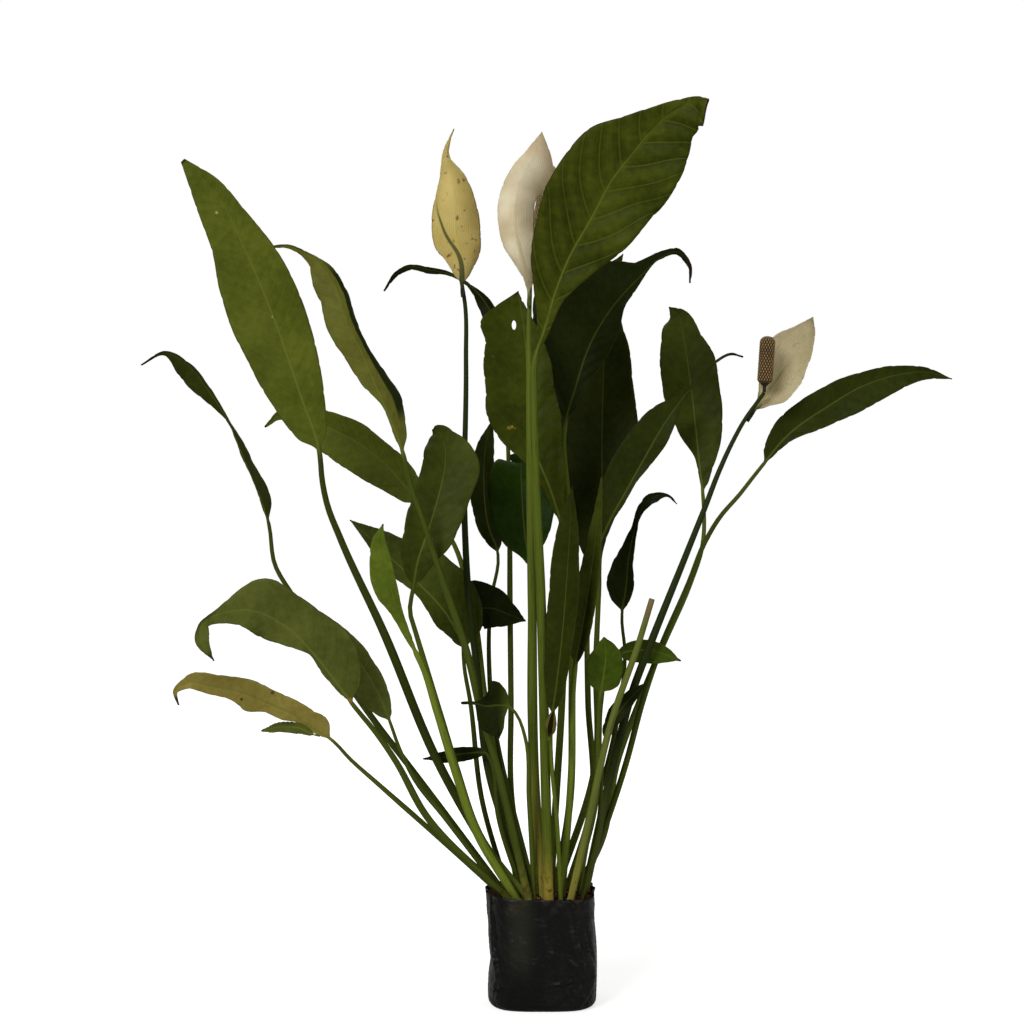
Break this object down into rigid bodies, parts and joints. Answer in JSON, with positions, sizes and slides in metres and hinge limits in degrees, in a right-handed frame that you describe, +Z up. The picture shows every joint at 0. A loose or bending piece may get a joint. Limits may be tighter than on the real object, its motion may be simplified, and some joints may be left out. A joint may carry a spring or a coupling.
{
  "type": "potted peace lily",
  "caption": "Peace lily with long lance-shaped leaves on slim stalks and hooded cream flowers, growing from soil in a black film nursery bag with a flat base.",
  "frame": {"origin": "middle of the bag's flat base, on the surface that it stands on", "axes": "+Z up, +Y to the back and +X to the right as the front is seen; the front is the side with the big top leaf"},
  "size_m": [0.8361, 0.3254, 0.8727],
  "materials": {
    "leaf_dark": "waxy dark olive green leaf",
    "leaf_mid": "waxy olive green leaf",
    "leaf_bright": "waxy fresh green leaf",
    "leaf_yellow": "yellowing leaf, satin",
    "flower_stalk": "smooth green stalk",
    "spathe_white": "matte cream spathe",
    "spathe_old": "matte ageing yellow spathe with brown specks",
    "spadix": "bumpy tan florets",
    "bag_film": "thin black film, creased, soft sheen",
    "soil": "dark reddish brown crumbs"
  },
  "bodies": {
    "root": {"bag": "bag_film", "soil": "soil", "leaf_01": "leaf_mid", "leaf_02": "leaf_dark", "leaf_03": "leaf_mid", "leaf_04": "leaf_mid", "leaf_05": "leaf_bright", "leaf_06": "leaf_bright", "leaf_07": "leaf_dark", "leaf_08": "leaf_dark", "leaf_09": "leaf_mid", "leaf_10": "leaf_yellow", "leaf_11": "leaf_dark", "leaf_12": "leaf_dark", "leaf_13": "leaf_dark", "leaf_14": "leaf_dark", "leaf_15": "leaf_bright", "leaf_16": "leaf_bright", "leaf_17": "leaf_dark", "leaf_18": "leaf_mid", "leaf_19": "leaf_mid", "leaf_20": "leaf_dark", "leaf_21": "leaf_dark", "leaf_22": "leaf_dark", "leaf_23": "leaf_mid", "leaf_24": "leaf_bright", "leaf_25": "leaf_dark", "leaf_26": "leaf_dark", "leaf_27": "leaf_mid", "leaf_28": "leaf_mid", "leaf_29": "leaf_mid", "bloom_1_stalk": "flower_stalk", "bloom_2_stalk": "flower_stalk", "bloom_3_stalk": "flower_stalk", "cut_stub": "flower_stalk", "bloom_1_spathe": "spathe_old", "bloom_2_spathe": "spathe_white", "bloom_3_spathe": "spathe_white", "bloom_1_spadix": "spadix", "bloom_2_spadix": "spadix", "bloom_3_spadix": "spadix"}
  },
  "joints": []
}
